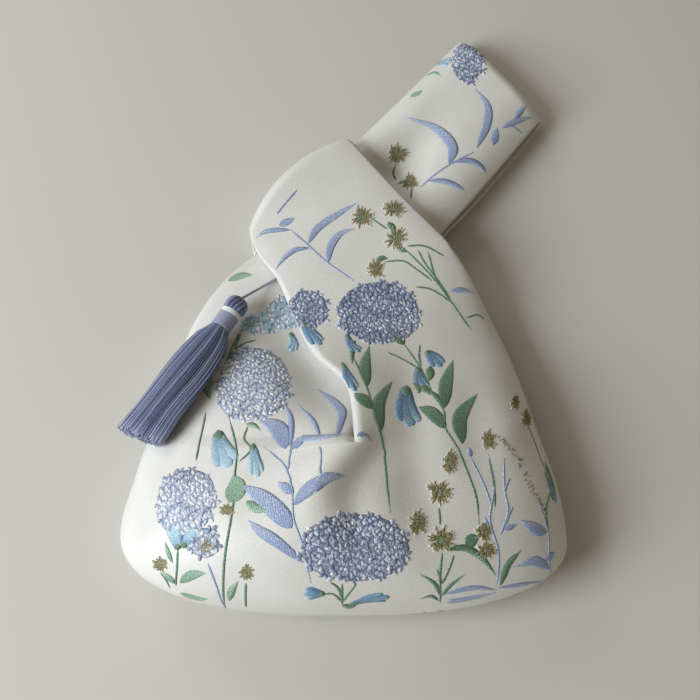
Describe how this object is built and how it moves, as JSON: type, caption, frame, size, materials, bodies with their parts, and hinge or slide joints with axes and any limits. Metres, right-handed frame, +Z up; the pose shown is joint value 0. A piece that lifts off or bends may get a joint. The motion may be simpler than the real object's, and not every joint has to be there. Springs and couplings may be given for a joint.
{
  "type": "brocade knot bag with tassel",
  "caption": "Soft brocade wrist bag, closed by drawing its long strap through its short strap, with a silk tassel on a cord, lying on its back.",
  "frame": {"origin": "middle of the base of the whole object, on the table it lies on", "axes": "+Z up from the table, +Y from the base seam towards the straps, +X to the right as seen from the base seam"},
  "size_m": [0.2166, 0.3262, 0.0611],
  "materials": {
    "brocade": "satin",
    "lining": "matte",
    "silk": "satin",
    "binding": "satin"
  },
  "bodies": {
    "bag": {"outer_front": "brocade", "outer_back": "brocade", "lining_front": "lining", "lining_back": "lining", "tassel_cord": "silk"},
    "tassel": {"tassel_head": "silk", "tassel_binding": "binding", "tassel_skirt": "silk"}
  },
  "joints": [
    {"name": "tassel_lift", "type": "hinge", "parent": "bag", "child": "tassel", "pos_m": [-0.04924, -0.01323, 0.036], "axis": [-0.8538, 0.5206, 0], "range_deg": [0, 100]}
  ]
}
